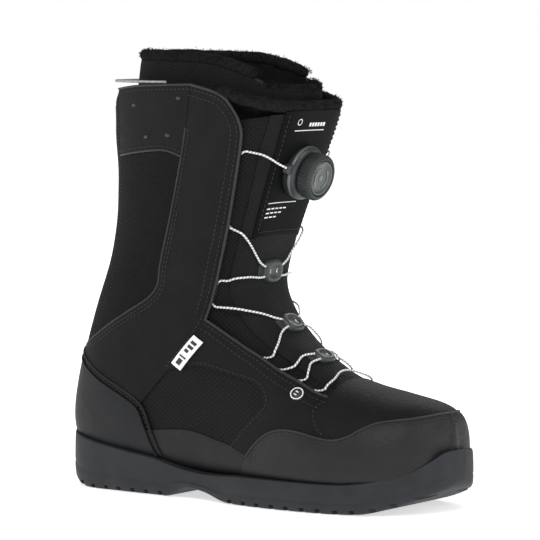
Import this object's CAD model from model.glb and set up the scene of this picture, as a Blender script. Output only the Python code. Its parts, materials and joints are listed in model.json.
"""Looks of the snowboard boot: fine sewn skins, seams, fleece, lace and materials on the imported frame.

Metres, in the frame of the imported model: +X points to the toe, +Z is up and -Y is the lateral side.
"""

import json
import math

import bmesh
import bpy
import numpy as np
from mathutils import Matrix, Vector

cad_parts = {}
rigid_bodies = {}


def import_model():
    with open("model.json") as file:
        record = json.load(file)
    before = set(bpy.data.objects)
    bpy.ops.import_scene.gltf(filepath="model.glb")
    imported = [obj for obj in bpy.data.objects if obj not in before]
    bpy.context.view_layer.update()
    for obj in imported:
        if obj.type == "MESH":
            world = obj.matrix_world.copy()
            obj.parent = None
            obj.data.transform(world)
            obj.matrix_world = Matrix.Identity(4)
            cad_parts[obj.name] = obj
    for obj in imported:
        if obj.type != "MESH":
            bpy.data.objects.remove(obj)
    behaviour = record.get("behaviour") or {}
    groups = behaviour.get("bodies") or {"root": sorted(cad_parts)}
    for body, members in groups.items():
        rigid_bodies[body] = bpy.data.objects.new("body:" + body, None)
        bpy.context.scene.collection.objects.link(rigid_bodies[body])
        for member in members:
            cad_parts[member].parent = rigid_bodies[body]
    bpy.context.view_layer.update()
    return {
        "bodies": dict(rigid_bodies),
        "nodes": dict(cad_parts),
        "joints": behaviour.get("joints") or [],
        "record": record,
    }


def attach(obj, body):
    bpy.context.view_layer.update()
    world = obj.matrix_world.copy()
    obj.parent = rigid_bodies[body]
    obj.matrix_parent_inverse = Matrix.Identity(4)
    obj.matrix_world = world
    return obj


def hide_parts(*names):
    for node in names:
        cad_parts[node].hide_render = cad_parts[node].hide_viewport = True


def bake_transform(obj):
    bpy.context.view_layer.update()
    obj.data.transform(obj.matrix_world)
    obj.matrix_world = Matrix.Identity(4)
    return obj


# ---------------------------------------------------------------- dimensions shared with the CAD
# Sections of the upper from the toe to the cuff: front x, front z, back x, back z, half-width,
# centre y, rear share of depth, front and rear roundness
SECTIONS = np.array([
    (0.1512, 0.0590, 0.1518, 0.0290, 0.0050, 0.009, 0.40, 2.2, 2.6),
    (0.1490, 0.0655, 0.1500, 0.0240, 0.0200, 0.009, 0.40, 2.4, 3.0),
    (0.1440, 0.0700, 0.1450, 0.0205, 0.0310, 0.008, 0.40, 2.5, 3.5),
    (0.1320, 0.0745, 0.1340, 0.0175, 0.0415, 0.006, 0.38, 2.4, 4.5),
    (0.1100, 0.0790, 0.1120, 0.0160, 0.0495, 0.003, 0.36, 2.2, 5.0),
    (0.0850, 0.0850, 0.0800, 0.0155, 0.0535, 0.000, 0.34, 2.1, 5.0),
    (0.0600, 0.0955, 0.0450, 0.0155, 0.0520, -0.002, 0.33, 2.2, 5.0),
    (0.0380, 0.1100, 0.0050, 0.0150, 0.0475, -0.002, 0.34, 2.5, 4.5),
    (0.0190, 0.1265, -0.0400, 0.0155, 0.0450, 0.000, 0.38, 3.0, 4.0),
    (0.0085, 0.1410, -0.0900, 0.0180, 0.0445, 0.000, 0.42, 3.4, 3.4),
    (0.0045, 0.1540, -0.1350, 0.0220, 0.0455, 0.000, 0.45, 3.6, 2.8),
    (0.0060, 0.1680, -0.1550, 0.0380, 0.0465, 0.000, 0.47, 3.8, 2.5),
    (0.0105, 0.1840, -0.1525, 0.0750, 0.0480, 0.000, 0.48, 4.0, 2.4),
    (0.0170, 0.2030, -0.1385, 0.1200, 0.0490, 0.000, 0.49, 4.0, 2.4),
    (0.0260, 0.2260, -0.1205, 0.1700, 0.0495, 0.000, 0.50, 4.0, 2.4),
    (0.0360, 0.2500, -0.1155, 0.2150, 0.0505, 0.000, 0.50, 4.0, 2.4),
    (0.0450, 0.2740, -0.1175, 0.2520, 0.0520, 0.000, 0.50, 4.0, 2.4),
    (0.0540, 0.3000, -0.1200, 0.3000, 0.0530, 0.000, 0.50, 4.0, 2.4),
    (0.0600, 0.3250, -0.1210, 0.3300, 0.0530, 0.000, 0.50, 4.0, 2.4),
])
TOP_ROW = len(SECTIONS) - 1

# Seams as seen from the side, x and z
EYESTAY = [
    (-0.026, 0.2910), (-0.0025, 0.2850), (0.008, 0.2760), (0.014, 0.2630), (0.013, 0.2485),
    (0.001, 0.1990), (-0.012, 0.1550), (-0.018, 0.1350), (-0.021, 0.1270),
]
THROAT = [
    (-0.021, 0.1270), (0.008, 0.1100), (0.021, 0.1035), (0.0375, 0.0945), (0.052, 0.0880),
    (0.067, 0.0810), (0.077, 0.0780),
]
SHAFT_FOOT = [(-0.021, 0.1270), (-0.029, 0.1150), (-0.046, 0.0960), (-0.052, 0.0900), (-0.080, 0.0610)]
REAR_SEAM = [
    (-0.026, 0.2910), (-0.031, 0.2610), (-0.0355, 0.2410), (-0.045, 0.2030), (-0.055, 0.1660),
    (-0.058, 0.1505), (-0.066, 0.1410), (-0.085, 0.1300), (-0.105, 0.1190), (-0.122, 0.1095),
    (-0.140, 0.1010), (-0.1475, 0.0975),
]
HEEL_TOP = [
    (-0.1475, 0.0975), (-0.113, 0.0785), (-0.097, 0.0710), (-0.080, 0.0610), (-0.074, 0.0480),
    (-0.066, 0.0270), (-0.062, 0.0190),
]
RAND_TOP = [
    (-0.0735, 0.0460), (-0.040, 0.0486), (-0.025, 0.0470), (-0.012, 0.0440), (0.003, 0.0410),
    (0.0195, 0.0345),
]
MESH_TOP = [
    (-0.052, 0.0900), (-0.026, 0.0940), (0.001, 0.0890), (0.022, 0.0846), (0.030, 0.0780),
    (0.032, 0.0710), (0.020, 0.0590), (0.003, 0.0410),
]
VAMP_EDGE = [(0.077, 0.0780), (0.0705, 0.0750), (0.069, 0.0695), (0.074, 0.0590), (0.082, 0.0516)]
TOE_TOP = [
    (0.012, 0.0190), (0.0195, 0.0345), (0.030, 0.0460), (0.041, 0.0530), (0.051, 0.0554),
    (0.064, 0.0550), (0.082, 0.0516), (0.092, 0.0510), (0.101, 0.0535), (0.109, 0.0585),
    (0.118, 0.0630), (0.130, 0.0650), (0.143, 0.0670), (0.165, 0.0735),
]
COLLAR_FOOT = [(-0.098, 0.2400), (-0.076, 0.2430), (-0.051, 0.2450), (-0.0355, 0.2410)]
COLLAR_TOP = [(-0.098, 0.2870), (-0.075, 0.2895), (-0.045, 0.2905), (-0.026, 0.2910)]
SCOOP = [(-0.180, 0.2590), (-0.120, 0.2610), (-0.110, 0.2730), (-0.098, 0.2870)]
LAST_EDGE = [
    (-0.180, 0.0300), (-0.130, 0.0265), (-0.085, 0.0225), (-0.062, 0.0190), (0.012, 0.0190),
    (0.100, 0.0190), (0.134, 0.0205), (0.165, 0.0330),
]
LINER_TOP = [
    (-0.200, 0.3070), (-0.105, 0.3075), (-0.060, 0.3065), (-0.020, 0.3045), (0.013, 0.2950),
    (0.030, 0.2870), (0.080, 0.2800),
]
RIM_LINE = [(-0.10, 0.2890), (-0.010, 0.2850), (0.012, 0.2790), (0.080, 0.2640)]
TONGUE_WIDTH = [
    (0.070, 0.019), (0.100, 0.0245), (0.130, 0.030), (0.160, 0.034), (0.210, 0.0365), (0.250, 0.040),
    (0.300, 0.040),
]
# Sole, from the heel to the toe: x, half-width, centre y, underside z, top edge z
SOLE = np.array([
    (-0.1570, 0.0070, 0.000, 0.0130, 0.0405),
    (-0.1535, 0.0200, 0.000, 0.0090, 0.0400),
    (-0.1450, 0.0315, 0.000, 0.0040, 0.0385),
    (-0.1300, 0.0395, 0.000, 0.0000, 0.0355),
    (-0.1000, 0.0435, 0.000, 0.0000, 0.0310),
    (-0.0660, 0.0445, 0.000, 0.0000, 0.0265),
    (-0.0540, 0.0450, 0.000, 0.0005, 0.0235),
    (-0.0380, 0.0460, 0.000, 0.0070, 0.0205),
    (-0.0200, 0.0475, -0.001, 0.0060, 0.0190),
    (-0.0020, 0.0495, -0.002, 0.0010, 0.0195),
    (0.0120, 0.0515, -0.002, 0.0000, 0.0202),
    (0.0400, 0.0545, -0.002, 0.0000, 0.0205),
    (0.0730, 0.0560, 0.000, 0.0000, 0.0205),
    (0.0950, 0.0545, 0.002, 0.0000, 0.0208),
    (0.1120, 0.0515, 0.003, 0.0010, 0.0225),
    (0.1270, 0.0465, 0.006, 0.0050, 0.0260),
    (0.1400, 0.0385, 0.007, 0.0095, 0.0300),
    (0.1490, 0.0290, 0.009, 0.0140, 0.0370),
    (0.1545, 0.0190, 0.009, 0.0175, 0.0425),
    (0.1570, 0.0070, 0.009, 0.0215, 0.0435),
])
RIVETS = [(-0.078, 0.2760), (-0.036, 0.2815), (-0.066, 0.2540), (-0.046, 0.2555)]
BADGE = (0.0565, 0.0790)
LABEL = [(-0.029, 0.1160), (-0.0215, 0.1110), (-0.040, 0.0905), (-0.0475, 0.0955)]
LOOP_ENDS = [
    ((0.0105, 0.2460), (-0.0035, 0.1930)),
    ((-0.0135, 0.1550), (-0.0195, 0.1360)),
    ((0.0185, 0.1020), (0.0350, 0.0935)),
    ((0.0475, 0.0875), (0.0590, 0.0822)),
]
GUIDES = [(0.1600, 0.0075, 0.0095), (0.1230, 0.0070, 0.0090), (0.1010, 0.0060, 0.0085)]
LOOP_DEPTH = 0.0028
LACE_RIDE = -0.0022
LACE_R = 0.0008
LINER_OUT, LINER_IN, CUFF_TAPER = 0.0048, 0.0110, 0.0065
DIAL_AT = Vector((0.0300, 0.0, 0.2305))
DIAL_TILT = math.radians(15)
FLANGE_R, HOUSING_R, KNOB_R, CAP_R = 0.0190, 0.0125, 0.0165, 0.0125
PORT_UP = 0.0030
PULL_LOOP_Z = 0.2925
HINGE_X = 0.0755  # the tongue's skin starts here, tucked under the vamp

# ---------------------------------------------------------------- looks
AROUND = 220  # points round a skin
ROW_STEP = 1 / 7  # rows between a skin's cross edges
SKIN = 0.0020  # thickness of a sewn panel
WIDE = 0.08  # further to a side than any part of the boot
CURVE_STEP, SEAM_STEP = 0.003, 0.0016  # between points of a side-view line, and of a seam on the upper
STITCH, THREAD_R = 0.0034, 0.00030  # length from stitch to stitch, and the thread's radius
TUFT = 0.0013  # usual length of the fleece's hairs
LINER_SLIT, LINER_FLAP = 0.0294, 0.0290  # half-widths of the liner's slit and of the tongue that fills it
MARK_LIFT, MARK_TOP = 0.00172, 0.00172 + 0.00012  # the print on the face panel, above the upper's face
LACE_PITCH = 0.0026  # length of one turn of the lace's twist
BEND_REACH = 0.0035  # how far from a corner the lace begins to bend
RANDOM = np.random.default_rng(7)


# ---------------------------------------------------------------- shape of the upper
def smooth(table, place):
    """Rows of a table at places counted in rows, on a smooth curve through all rows."""
    place = np.asarray(place, float)
    last = len(table) - 1
    low = np.clip(place.astype(int), 0, last - 1)
    s = (place - low)[..., None]
    before, a, b, after = (table[np.clip(low + k, 0, last)] for k in (-1, 0, 1, 2))
    return (
        (1 + 2 * s) * (1 - s) ** 2 * a + s * (1 - s) ** 2 * (b - before) / 2
        + s * s * (3 - 2 * s) * b + s * s * (s - 1) * (after - a) / 2
    )


def upper_points(row, turn, inset=0.0):
    """Points on the upper's outer face. A turn is 0 at the front and a quarter round at -Y."""
    fx, fz, bx, bz, half, middle, rear, front_n, rear_n = np.moveaxis(smooth(SECTIONS, row), -1, 0)
    c, s = np.cos(turn), np.sin(turn)
    n = np.where(c >= 0, front_n, rear_n)
    r = (np.abs(c) ** n + np.abs(s) ** n) ** (-1 / n)
    depth = np.hypot(fx - bx, fz - bz)
    reach = np.where(c >= 0, 1 - rear, rear) * depth - inset
    share = rear + reach * r * c / depth
    y = middle - (half - inset) * r * s
    return np.stack([bx + (fx - bx) * share, y, bz + (fz - bz) * share], -1)


def upper_point(row, turn, inset=0.0):
    return Vector(upper_points(row, turn, inset))


ROW_STEPS = np.linspace(0, TOP_ROW, 24 * TOP_ROW + 1)
STEP_VALUES = smooth(SECTIONS, ROW_STEPS)


def side_place(x, z, inset=0.0):
    """The row and the turn of the outer face's point that is seen at x, z from the side."""
    fx, fz, bx, bz = STEP_VALUES[:, :4].T
    beside = (fx - bx) * (z - bz) - (fz - bz) * (x - bx)
    best = None
    crossed = np.nonzero(beside[:-1] * beside[1:] <= 0)[0]
    if not len(crossed):  # the place is beyond the toe or the cuff
        crossed = [min(int(np.argmin(np.abs(beside))), len(beside) - 2)]
    for k in crossed:
        row = ROW_STEPS[k] + ROW_STEPS[1] * np.clip(beside[k] / (beside[k] - beside[k + 1]), 0, 1)
        fx0, fz0, bx0, bz0, _, _, rear, front_n, rear_n = smooth(SECTIONS, row)
        depth = math.hypot(fx0 - bx0, fz0 - bz0)
        share = ((x - bx0) * (fx0 - bx0) + (z - bz0) * (fz0 - bz0)) / depth ** 2
        front = share >= rear
        n = front_n if front else rear_n
        room = (1 - rear if front else rear) - inset / depth
        u = min(abs(share - rear) / room, 1.0)
        v = (1 - u ** n) ** (1 / n)
        miss = max(abs(share - 0.5) - 0.5, 0)
        if best is None or miss < best[0]:
            best = (miss, row, math.atan2(v, u if front else -u))
    return best[1], best[2]


def on_side(place, inset=0.0, side=-1):
    row, turn = side_place(place[0], place[1], inset)
    return upper_point(row, turn if side < 0 else -turn, inset)


def outward(row, turn):
    """The outer face's normal."""
    along = upper_point(row + 0.05, turn) - upper_point(row - 0.05, turn)
    across = upper_point(row, turn + 0.03) - upper_point(row, turn - 0.03)
    normal = along.cross(across).normalized()
    centre = (upper_point(row, 0) + upper_point(row, math.pi)) / 2
    return normal if normal.dot(upper_point(row, turn) - centre) > 0 else -normal


def front_row(z):
    """The row whose front point is at height z."""
    heights = STEP_VALUES[:, 1]
    return float(np.interp(z, heights, ROW_STEPS))


def front_turn(row, y):
    """The turn at which a row's front half is at y. It is below 0 on the medial side."""
    _, _, _, _, half, middle, _, n, _ = np.moveaxis(smooth(SECTIONS, row), -1, 0)
    v = np.clip(np.abs(y - middle) / half, 0, 0.995)
    u = (1 - v ** n) ** (1 / n)
    return np.arctan2(v, u) * -np.sign(y - middle)


def curve(line, first=0, last=None):
    """A smooth line through side-view points, or through its points from first to last."""
    table = np.array(line)
    last = len(line) - 1 if last is None else last
    places = [float(first)]
    for k in range(first, last):
        count = max(int(np.linalg.norm(table[k + 1] - table[k]) / CURVE_STEP), 1)
        places += [k + (i + 1) / count for i in range(count)]
    return [tuple(p) for p in smooth(table, np.array(places))]


def beside(line, distance):
    """The line moved sideways, to the left of its own direction when seen from the lateral side."""
    points = np.array(line)
    along = np.gradient(points, axis=0)
    along /= np.linalg.norm(along, axis=1)[:, None]
    return [tuple(p) for p in points + distance * np.stack([-along[:, 1], along[:, 0]], 1)]


def from_outline(points, outline):
    """How far each side-view point is from an outline's edges."""
    a = np.array(outline)
    b = np.roll(a, -1, 0)
    found = np.full(len(points), 1.0)
    for start, end in zip(a, b):
        way = end - start
        share = np.clip(((points - start) @ way) / max(way @ way, 1e-12), 0, 1)
        found = np.minimum(found, np.linalg.norm(points - start - share[:, None] * way, axis=1))
    return found


def ripples(points):
    """A soft uneven swell from -1 to 1, as padded cloth has."""
    x, y, z = np.moveaxis(points, -1, 0)
    return (
        np.sin(61 * x + 83 * z + 1.0) + np.sin(-127 * x + 71 * z + 90 * y + 2.1)
        + np.sin(173 * z - 39 * x - 120 * y + 0.4)
    ) / 3


# ---------------------------------------------------------------- meshes
def new_object(name, points, faces, material=None, angle=40):
    """A smooth-shaded mesh object whose edges above the angle stay sharp."""
    mesh = bpy.data.meshes.new(name)
    mesh.from_pydata(np.asarray(points, float).reshape(-1, 3).tolist(), [], [list(f) for f in faces])
    bm = bmesh.new()
    bm.from_mesh(mesh)
    bmesh.ops.recalc_face_normals(bm, faces=bm.faces)
    bm.to_mesh(mesh)
    bm.free()
    obj = bpy.data.objects.new(name, mesh)
    bpy.context.scene.collection.objects.link(obj)
    finish_mesh(obj, material, angle)
    return obj


def finish_mesh(obj, material=None, angle=40):
    mesh = obj.data
    mesh.polygons.foreach_set("use_smooth", [True] * len(mesh.polygons))
    mesh.set_sharp_from_angle(angle=math.radians(angle))
    if material:
        mesh.materials.clear()
        mesh.materials.append(material)


def round_grid(rows, count):
    """Rows and turns of a grid that goes round the boot."""
    return np.meshgrid(rows, np.linspace(0, 2 * np.pi, count, endpoint=False), indexing="ij")


def grid_faces(rows, columns, wrap, start=0):
    """Faces between the points of a grid, numbered row by row from start."""
    i = np.arange(rows - 1)[:, None] * columns
    j = np.arange(columns if wrap else columns - 1)[None, :]
    k = (j + 1) % columns
    quads = np.stack([i + j, i + k, i + columns + k, i + columns + j], -1).reshape(-1, 4)
    return (quads + start).tolist()


def loft(name, rings, material=None, angle=40):
    """A closed solid through rings of points, with flat ends."""
    points, faces = rings_mesh(np.array(rings, float))
    return new_object(name, points, faces, material, angle)


def slab_faces(rows, columns):
    """Faces of a closed slab between two open grids, the first one outside."""
    inner = rows * columns
    faces = grid_faces(rows, columns, False) + grid_faces(rows, columns, False, inner)
    edge = (
        list(range(columns)) + list(range(2 * columns - 1, inner, columns))
        + list(range(inner - 2, inner - columns - 1, -1))
        + list(range((rows - 2) * columns, 0, -columns))
    )
    return faces + [[a, b, b + inner, a + inner] for a, b in zip(edge, edge[1:] + edge[:1])]


def slab(name, outer, inner, material):
    """A closed body between two open grids of points."""
    points = np.concatenate([outer.reshape(-1, 3), inner.reshape(-1, 3)])
    return new_object(name, points, slab_faces(*outer.shape[:2]), material)


def prism(outline, y0, y1):
    """A cutter: a side-view outline carried across from y0 to y1."""
    count = len(outline)
    points = [(x, y, z) for y in (y0, y1) for x, z in outline]
    faces = [[i, (i + 1) % count, (i + 1) % count + count, i + count] for i in range(count)]
    faces += [list(range(count)), list(range(count, 2 * count))]
    return new_object("cutter", points, faces)


def boolean(obj, operation, cutter):
    """Changes the object's mesh by the cutter's, and removes the cutter."""
    modifier = obj.modifiers.new("cut", "BOOLEAN")
    modifier.operation = operation
    modifier.solver = "MANIFOLD"
    modifier.object = cutter
    graph = bpy.context.evaluated_depsgraph_get()
    mesh = bpy.data.meshes.new_from_object(obj.evaluated_get(graph))
    obj.modifiers.clear()
    obj.data = mesh
    bpy.data.objects.remove(cutter)
    return obj


def tube_rings(path, radius, sides):
    """Rings of a round tube along a path, free of twist. The radius may be one per point."""
    path = np.asarray(path, float)
    along = np.gradient(path, axis=0)
    along /= np.linalg.norm(along, axis=1)[:, None]
    radii = np.broadcast_to(radius, len(path))
    angles = 2 * np.pi * np.arange(sides) / sides
    normal = np.array(Vector(along[0]).orthogonal().normalized())
    rings = []
    for here, way, r in zip(path, along, radii):
        normal = normal - way * (normal @ way)
        normal /= np.linalg.norm(normal)
        across = np.cross(way, normal)
        rings.append(here + r * (np.outer(np.cos(angles), normal) + np.outer(np.sin(angles), across)))
    return np.array(rings)


def joined(name, meshes, material, angle=60):
    """One object from several lists of points and faces."""
    points, faces = [], []
    for more, its_faces in meshes:
        faces += [[i + len(points) for i in face] for face in its_faces]
        points += [tuple(p) for p in more]
    return new_object(name, points, faces, material, angle)


def rings_mesh(rings):
    """Points and faces of a closed solid through rings of points, with flat ends."""
    rows, columns = rings.shape[:2]
    ends = [list(range(columns)), list(range((rows - 1) * columns, rows * columns))]
    return rings.reshape(-1, 3), grid_faces(rows, columns, True) + ends


def smooth_path(points, steps):
    """A smooth curve through the points, in so many steps from each to the next."""
    places = np.linspace(0, len(points) - 1, steps * (len(points) - 1) + 1)
    return smooth(np.array([tuple(p) for p in points]), places)


def even_path(path, step):
    """Points a step apart along a path."""
    path = np.asarray(path, float)
    lengths = np.concatenate([[0], np.cumsum(np.linalg.norm(np.diff(path, axis=0), axis=1))])
    places = np.linspace(0, lengths[-1], max(int(lengths[-1] / step), 2) + 1)
    return np.stack([np.interp(places, lengths, path[:, k]) for k in range(path.shape[1])], 1)


def frame_at(point, axis):
    """A frame at a point whose Z is along the axis and whose Y is as near to +Y as it can be."""
    axis = Vector(axis).normalized()
    across = Vector((0, 1, 0)) - axis * axis.y
    if across.length < 0.1:
        across = Vector((1, 0, 0)) - axis * axis.x
    across.normalize()
    turn = Matrix((across.cross(axis), across, axis)).transposed().to_4x4()
    return Matrix.Translation(point) @ turn


def turned_mesh(profile, frame, sides, radius_at=None):
    """A turned body from radius and height up the frame's axis. One that ends on the axis is solid."""
    angles = 2 * np.pi * np.arange(sides) / sides
    rings = []
    for r, h in profile:
        radii = np.array([radius_at(r, k) if radius_at else r for k in range(sides)])
        radii = np.maximum(radii, 1e-5)
        local = np.stack([radii * np.cos(angles), radii * np.sin(angles), np.full(sides, h)], 1)
        rings.append([frame @ Vector(p) for p in local])
    grid = np.array(rings)
    if profile[0][0] == 0:
        return rings_mesh(grid)
    faces = grid_faces(len(profile), sides, True)
    last = (len(profile) - 1) * sides
    faces += [[last + k, last + (k + 1) % sides, (k + 1) % sides, k] for k in range(sides)]
    return grid.reshape(-1, 3), faces


def turned(name, profile, frame, material, sides=64, radius_at=None, angle=35):
    points, faces = turned_mesh(profile, frame, sides, radius_at)
    return new_object(name, points, faces, material, angle)


# ---------------------------------------------------------------- materials
# Directions in which each kind of cloth rises and falls
THREADS = {"rib": [(0.6, 0.6, 0.5)], "weave": [(0.5, 0.5, 0.7), (0.5, 0.5, -0.7)]}


def add_node(tree, kind, inputs, **settings):
    """A new shader node. Each input takes a value, or a link from another node's output."""
    made = tree.nodes.new("ShaderNode" + kind)
    for name, value in settings.items():
        setattr(made, name, value)
    for name, value in inputs.items():
        if isinstance(value, bpy.types.NodeSocket):
            tree.links.new(value, made.inputs[name])
        else:
            made.inputs[name].default_value = value
    return made


def object_place(tree):
    return add_node(tree, "TexCoord", {}).outputs["Object"]


def height_map(tree, kind, scale):
    """A height from 0 to 1 of the pattern's kind. The scale counts features in a metre."""
    where = object_place(tree)
    if kind == "noise":
        return add_node(tree, "TexNoise", {"Scale": scale, "Vector": where}).outputs["Fac"]
    if kind == "grain":
        return add_node(tree, "TexVoronoi", {"Scale": scale, "Vector": where}).outputs["Distance"]
    waves = []
    for direction in THREADS[kind]:
        way = Vector(direction).normalized() * (2 * math.pi * scale)
        along = add_node(tree, "VectorMath", {0: where, 1: way}, operation="DOT_PRODUCT")
        sine = add_node(tree, "Math", {0: along.outputs["Value"]}, operation="SINE")
        wave = add_node(tree, "Math", {0: sine.outputs[0], 1: 0.5, 2: 0.5}, operation="MULTIPLY_ADD")
        waves.append(wave.outputs[0])
    if len(waves) == 1:
        return waves[0]
    return add_node(tree, "Math", dict(enumerate(waves)), operation="MULTIPLY").outputs[0]


def ramp_between(tree, level, stops):
    """The colour at a level, from two stops of level and colour."""
    ramp = add_node(tree, "ValToRGB", {"Fac": level})
    for element, (place, colour) in zip(ramp.color_ramp.elements, stops):
        element.position, element.color = place, [*colour, 1]
    return ramp.outputs["Color"]


def tinted(tree, colour_out, level, share):
    """The colour, darkened by up to the share where the level is low."""
    shade = add_node(tree, "MapRange", {"To Min": 1 - share, "Value": level})
    mix = add_node(tree, "Mix", {"Factor": 1.0, "A": colour_out, "B": shade.outputs["Result"]},
                   data_type="RGBA", blend_type="MULTIPLY")
    return mix.outputs["Result"]


def material(name, colour, roughness, patterns=(), spread=0.15, sheen=0.0, specular=0.5, metallic=0.0,
             patch=60, tint=None):
    """A blotched colour under patterns of kind, features in a metre, and height in metres.

    With tint the first pattern also darkens the colour, by that share, in its low places.
    """
    made = bpy.data.materials.new(name)
    made.use_nodes = True
    tree = made.node_tree
    shader = tree.nodes["Principled BSDF"]
    for socket, value in (("Roughness", roughness), ("Specular IOR Level", specular),
                          ("Metallic", metallic), ("Sheen Weight", sheen), ("Sheen Roughness", 0.6)):
        shader.inputs[socket].default_value = value
    noise = add_node(tree, "TexNoise", {"Scale": patch, "Detail": 5.0, "Vector": object_place(tree)})
    stops = [(place, [min(c * share, 1) for c in colour])
             for place, share in ((0.3, 1 - spread), (0.7, 1 + spread))]
    colour_out = ramp_between(tree, noise.outputs["Fac"], stops)
    normal = None
    for number, (kind, scale, height) in enumerate(patterns):
        level = height_map(tree, kind, scale)
        bump = add_node(tree, "Bump", {"Strength": 1.0, "Distance": height, "Height": level})
        if normal:
            tree.links.new(normal, bump.inputs["Normal"])
        normal = bump.outputs["Normal"]
        if tint and number == 0:
            colour_out = tinted(tree, colour_out, level, tint)
    tree.links.new(colour_out, shader.inputs["Base Color"])
    if normal:
        tree.links.new(normal, shader.inputs["Normal"])
    return made


def striped(name, attribute, low, high, roughness):
    """A material that runs between two colours by a point attribute."""
    made = material(name, low, roughness, [("noise", 1500, 0.0001)])
    tree = made.node_tree
    reader = add_node(tree, "Attribute", {}, attribute_name=attribute)
    colour_out = ramp_between(tree, reader.outputs["Fac"], [(0.35, low), (0.6, high)])
    tree.links.new(colour_out, tree.nodes["Principled BSDF"].inputs["Base Color"])
    return made


def make_materials():
    return {
        "smooth": material("smooth_synthetic", (0.0080, 0.0080, 0.0083), 0.62, [
            ("grain", 900, 0.00022), ("noise", 260, 0.0003)], specular=0.12),
        "rear": material("rear_weave", (0.0085, 0.0085, 0.0090), 0.74, [
            ("weave", 560, 0.00035), ("noise", 300, 0.0002)], tint=0.5, specular=0.12),
        "mesh": material("side_mesh", (0.0085, 0.0085, 0.0088), 0.72, [
            ("weave", 420, 0.0006)], tint=0.75, specular=0.2),
        "tongue": material("tongue_weave", (0.0130, 0.0130, 0.0135), 0.74, [
            ("weave", 520, 0.0004)], tint=0.65, specular=0.2),
        "gusset": material("gusset_ribs", (0.0130, 0.0130, 0.0135), 0.78, [
            ("weave", 420, 0.0005)], tint=0.6, specular=0.15),
        "face": material("tongue_face", (0.0040, 0.0040, 0.0042), 0.68, [
            ("grain", 1000, 0.0002)], specular=0.08),
        "rand": material("rand_synthetic", (0.0125, 0.0125, 0.0132), 0.56, [
            ("grain", 800, 0.00025), ("noise", 220, 0.0003)], specular=0.25),
        "heel": material("heel_moulding", (0.0135, 0.0142, 0.0158), 0.55, [
            ("noise", 1400, 0.00012), ("noise", 150, 0.0004)], specular=0.2),
        "toe": material("toe_synthetic", (0.0125, 0.0125, 0.0132), 0.52, [
            ("grain", 700, 0.0002), ("noise", 200, 0.0004)], specular=0.3),
        "sole": material("sole_rubber", (0.0200, 0.0215, 0.0250), 0.6, [
            ("noise", 1100, 0.00025)], spread=0.2, specular=0.3),
        "binding": material("edge_binding", (0.020, 0.020, 0.021), 0.5, [
            ("rib", 900, 0.0002)], specular=0.4),
        "thread": material("thread", (0.020, 0.020, 0.020), 0.6, [("rib", 1800, 0.0001)]),
        "liner": material("liner_fabric", (0.0160, 0.0160, 0.0165), 0.85, [
            ("weave", 600, 0.0004), ("noise", 90, 0.001)], tint=0.5, specular=0.1),
        "fleece": material("fleece", (0.0120, 0.0120, 0.0125), 0.95, [
            ("noise", 900, 0.0008)], spread=0.4, patch=400, specular=0.05),
        "footbed": material("footbed_fabric", (0.05, 0.05, 0.055), 0.9, [("weave", 500, 0.0004)]),
        "foam": material("midsole_foam", (0.05, 0.05, 0.055), 0.8, [("grain", 600, 0.0003)]),
        "board": material("board_fibre", (0.10, 0.09, 0.08), 0.85, [("noise", 700, 0.0003)]),
        "rivet": material("rivet_enamel", (0.022, 0.022, 0.023), 0.38, [("noise", 700, 0.00005)]),
        "ink": material("pale_ink", (0.85, 0.85, 0.85), 0.6, [("noise", 1500, 0.00005)]),
        "dark_ink": material("dark_ink", (0.02, 0.02, 0.02), 0.6, [("noise", 1500, 0.00005)]),
        "label": material("label_weave", (0.92, 0.92, 0.91), 0.8, [
            ("weave", 1500, 0.00012)], spread=0.04),
        "badge": material("badge_face", (0.02, 0.02, 0.02), 0.35, [("noise", 900, 0.00005)]),
        "plastic": material("guide_plastic", (0.031, 0.039, 0.038), 0.42, [
            ("noise", 1200, 0.00008)]),
        "dial": material("dial_plastic", (0.024, 0.029, 0.029), 0.40, [("noise", 1500, 0.00006)]),
        "grip": material("dial_rubber", (0.018, 0.021, 0.022), 0.55, [("noise", 1500, 0.0001)]),
        "cap": material("dial_face", (0.045, 0.060, 0.056), 0.25, [("noise", 1300, 0.00006)]),
        "rim": material("dial_rim", (0.12, 0.135, 0.13), 0.32, [("noise", 1300, 0.00005)]),
        "steel": material("screw_steel", (0.5, 0.5, 0.5), 0.35, [("noise", 900, 0.00005)], metallic=1),
        "sleeve": material("sleeve_plastic", (0.02, 0.02, 0.02), 0.5, [("rib", 900, 0.0001)]),
        "webbing": material("webbing", (0.020, 0.021, 0.021), 0.75, [
            ("weave", 900, 0.0003)], sheen=0.1, tint=0.5),
        "lace": striped("lace_braid", "twist", (0.42, 0.42, 0.42), (0.92, 0.92, 0.91), 0.6),
        "cord": striped("loop_cord", "twist", (0.28, 0.28, 0.285), (0.34, 0.34, 0.34), 0.6),
    }


# ---------------------------------------------------------------- pieces
def placed(obj, body, slot, *nodes):
    """Rides the piece on its body, and says which nodes it stands for."""
    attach(obj, body)
    if nodes:
        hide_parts(*nodes)
    return obj


def toe_rings(inset):
    """Rings that close the toe end of a skin in a dome."""
    turns = np.linspace(0, 2 * np.pi, AROUND, endpoint=False)
    ring = upper_points(np.zeros(AROUND), turns, inset)
    centre = ring.mean(0)
    found = []
    for share, bulge in ((0.15, 0.0016), (0.45, 0.0013), (0.75, 0.0008)):
        found.append(centre + (ring - centre) * share + np.array([bulge, 0, 0]))
    return found


def skin_solid(first, last, inset_at, toe):
    """A closed solid whose outer face is the upper's, moved in by inset_at of its points.

    The toe's rings come before its first row.
    """
    rows = np.append(np.arange(first, last, ROW_STEP), last)
    row_grid, turn_grid = round_grid(rows, AROUND)
    flat = upper_points(row_grid, turn_grid)
    inset = inset_at(flat.reshape(-1, 3)).reshape(row_grid.shape)
    return loft("skin", toe + list(upper_points(row_grid, turn_grid, inset)))


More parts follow.
